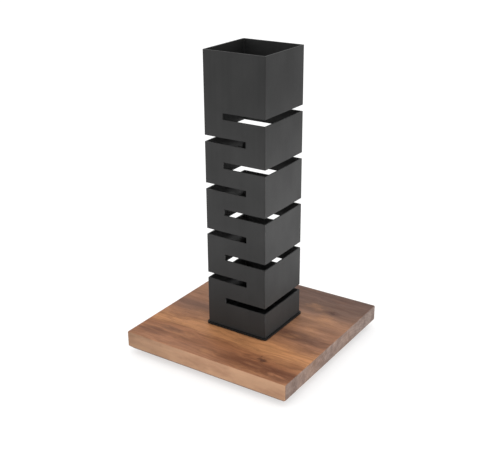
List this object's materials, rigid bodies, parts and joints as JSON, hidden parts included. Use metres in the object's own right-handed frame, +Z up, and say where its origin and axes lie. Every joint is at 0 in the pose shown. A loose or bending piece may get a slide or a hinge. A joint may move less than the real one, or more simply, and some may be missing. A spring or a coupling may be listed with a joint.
{
  "type": "spice carousel",
  "caption": "Square slotted steel column that turns on a ball bearing let into a square walnut board with rubber feet.",
  "frame": {"origin": "centre of the board on the axis of rotation, at the level of the feet's lower faces", "axes": "+Z up along the axis of rotation; -Y and +X are the board sides parallel to the column faces where the odd slots open towards +X; wood grain runs along X"},
  "size_m": [0.22, 0.22, 0.361],
  "materials": {
    "walnut": "oiled, satin",
    "powder_coat": "matte fine-grain powder coat",
    "rubber": "matte",
    "zinc_steel": "zinc plated",
    "bearing_steel": "ground, oiled",
    "bronze": "sintered bronze",
    "nylon": "matte natural nylon"
  },
  "bodies": {
    "base": {"base_board": "walnut", "foot_front_left": "rubber", "foot_front_right": "rubber", "foot_back_right": "rubber", "foot_back_left": "rubber", "foot_washers": "zinc_steel", "foot_screws": "zinc_steel", "board_bush": "bronze", "slide_washer": "nylon", "bearing_lower_race": "bearing_steel"},
    "column": {"column_tube": "powder_coat", "base_plate": "powder_coat", "pivot_stud": "zinc_steel", "bearing_upper_race": "bearing_steel", "disc_spring": "bearing_steel", "retaining_washer": "zinc_steel", "lock_washer": "bearing_steel", "retaining_screw": "zinc_steel"},
    "ball_ring": {"ball_cage": "nylon", "bearing_balls": "bearing_steel"}
  },
  "joints": [
    {"name": "column_spin", "type": "hinge", "parent": "base", "child": "column", "pos_m": [0, 0, 0.0298], "axis": [0, 0, 1], "continuous": true},
    {"name": "ball_ring_spin", "type": "hinge", "parent": "base", "child": "ball_ring", "pos_m": [0, 0, 0.02582], "axis": [0, 0, 1], "continuous": true}
  ],
  "couplings": [
    {"joint": "ball_ring_spin", "follows": "column_spin", "ratio": 0.5}
  ]
}
